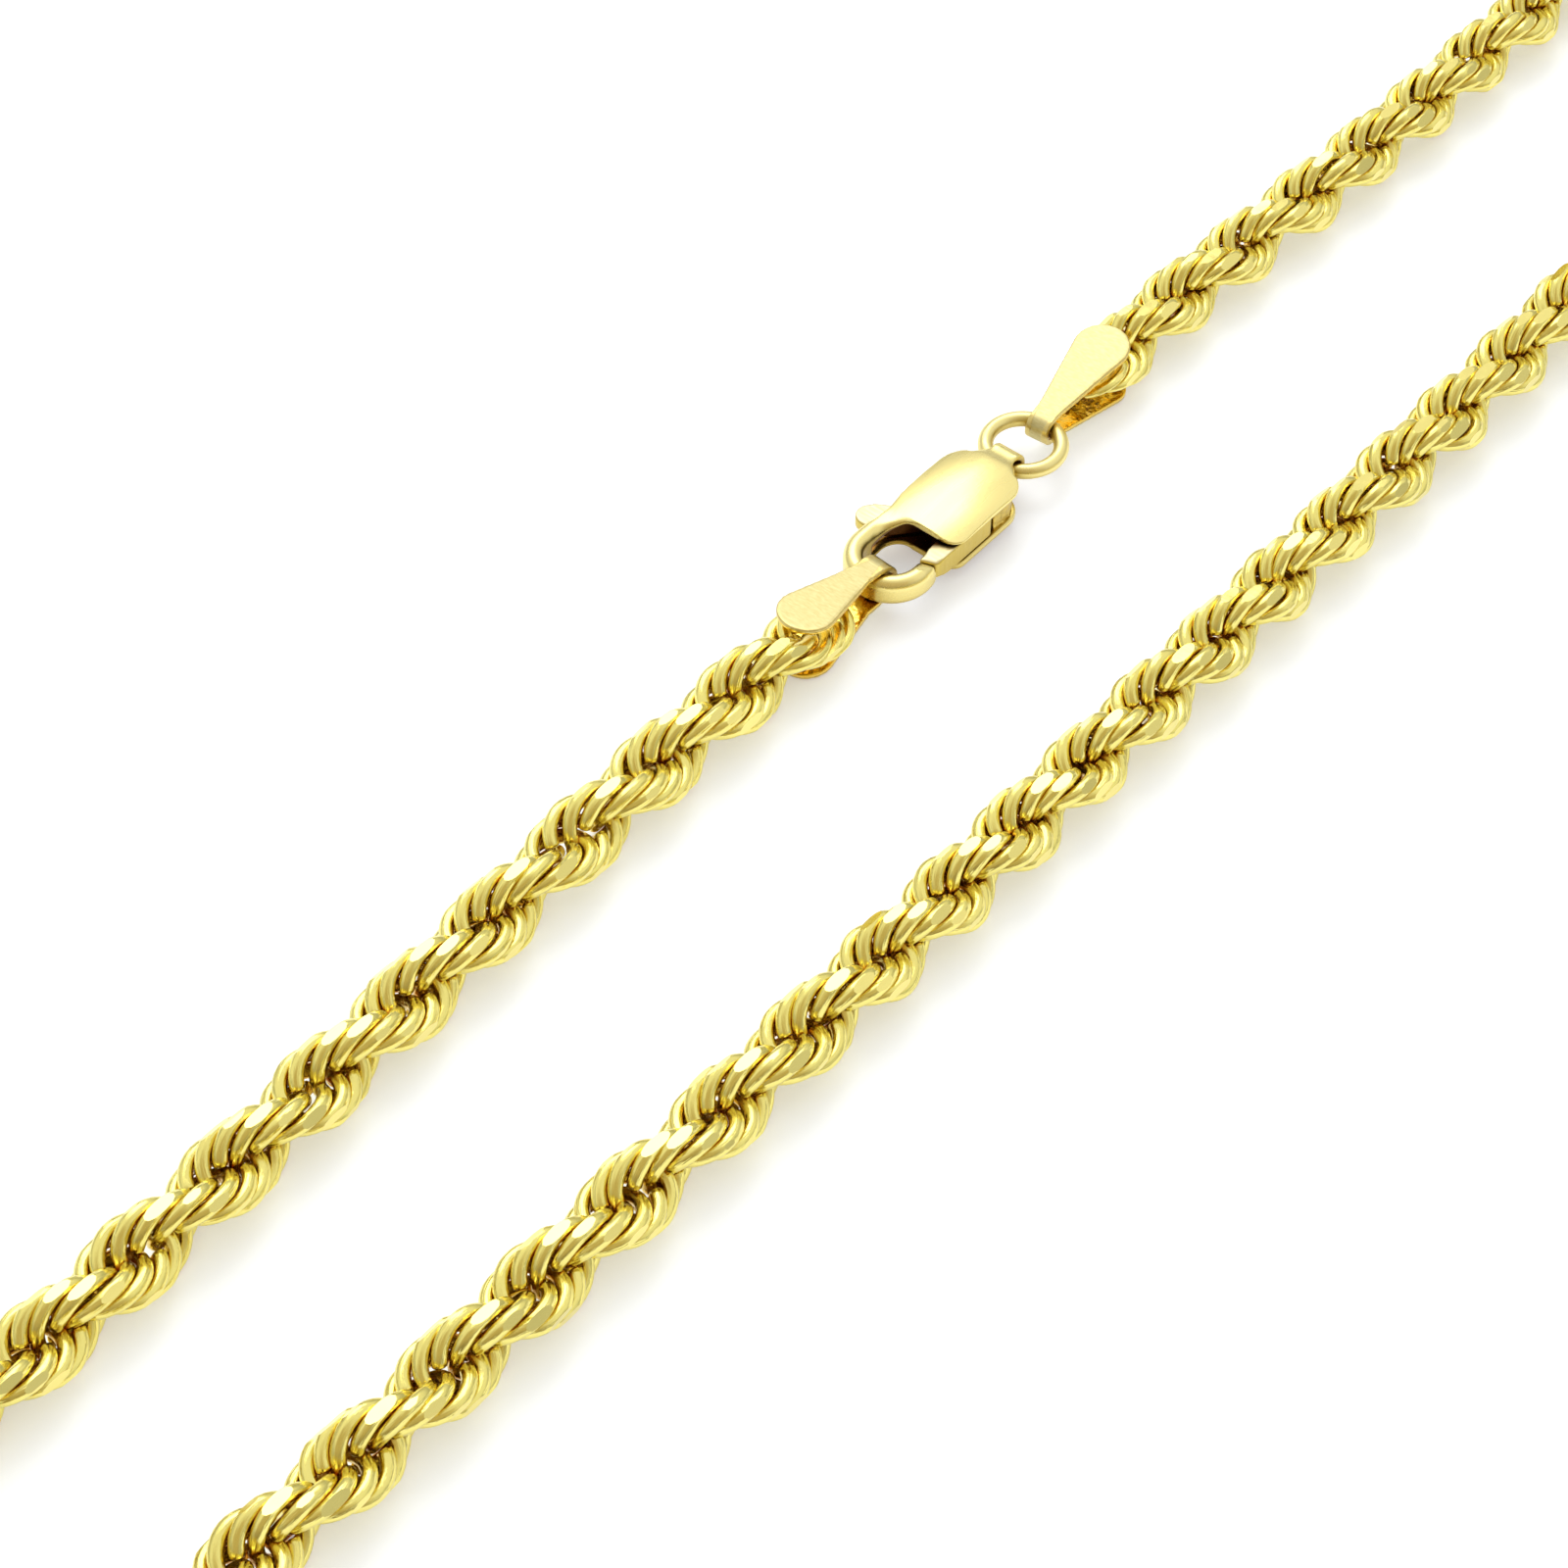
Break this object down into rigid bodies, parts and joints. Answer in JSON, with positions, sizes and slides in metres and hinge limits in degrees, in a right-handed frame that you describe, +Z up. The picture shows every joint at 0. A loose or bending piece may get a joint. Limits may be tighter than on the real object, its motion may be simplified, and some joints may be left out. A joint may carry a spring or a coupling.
{
  "type": "rope chain necklace",
  "caption": "Closed loop of diamond-cut rope chain with folded end tags, a jump ring and a lobster clasp with a sprung lever.",
  "frame": {"origin": "on the surface that the necklace lies on, at the middle of the loop's outline", "axes": "+X along the two strands, towards the jump ring's side of the clasp; +Y across them, towards the strand with the clasp; +Z up"},
  "size_m": [0.2448, 0.026, 0.004],
  "materials": {
    "rope_gold": "polished, with mirror-bright diamond-cut flats",
    "tag_gold": "satin, finely frosted",
    "ring_gold": "polished",
    "clasp_gold": "polished",
    "lever_gold": "brushed"
  },
  "bodies": {
    "necklace": {"rope_chain_left": "rope_gold", "rope_chain_right": "rope_gold", "hook_end_tag": "tag_gold", "ring_end_tag": "tag_gold", "jump_ring": "ring_gold", "clasp_body": "clasp_gold"},
    "lever": {"clasp_lever": "lever_gold"}
  },
  "joints": [
    {"name": "lever_hinge", "type": "hinge", "parent": "necklace", "child": "lever", "pos_m": [0.00205, 0.00796, 0.002], "axis": [0, 0, -1], "range_deg": [0, 26], "stiffness_Nm_per_rad": 0.008, "springref_deg": -20.05}
  ]
}
